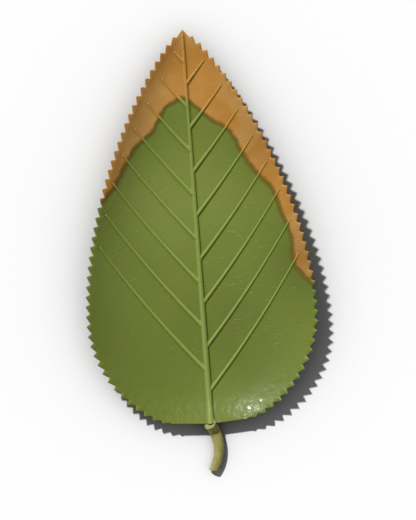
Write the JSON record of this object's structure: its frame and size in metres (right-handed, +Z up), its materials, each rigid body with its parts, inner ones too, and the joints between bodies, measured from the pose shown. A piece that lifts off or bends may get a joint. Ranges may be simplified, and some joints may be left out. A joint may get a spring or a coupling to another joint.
{
  "type": "beech leaf",
  "caption": "Egg-shaped leaf with a saw-toothed edge, raised midrib and side veins, cupped like a shallow dish, on a short curved stalk.",
  "frame": {"origin": "middle of the leaf's footprint, on the surface it lies on", "axes": "+Y from the stalk towards the leaf's tip, +Z up out of the veined face, +X to the right seen from above"},
  "size_m": [0.056, 0.1069, 0.0078],
  "materials": {
    "leaf": "satin"
  },
  "bodies": {
    "root": {"beech_leaf": "leaf"}
  },
  "joints": []
}
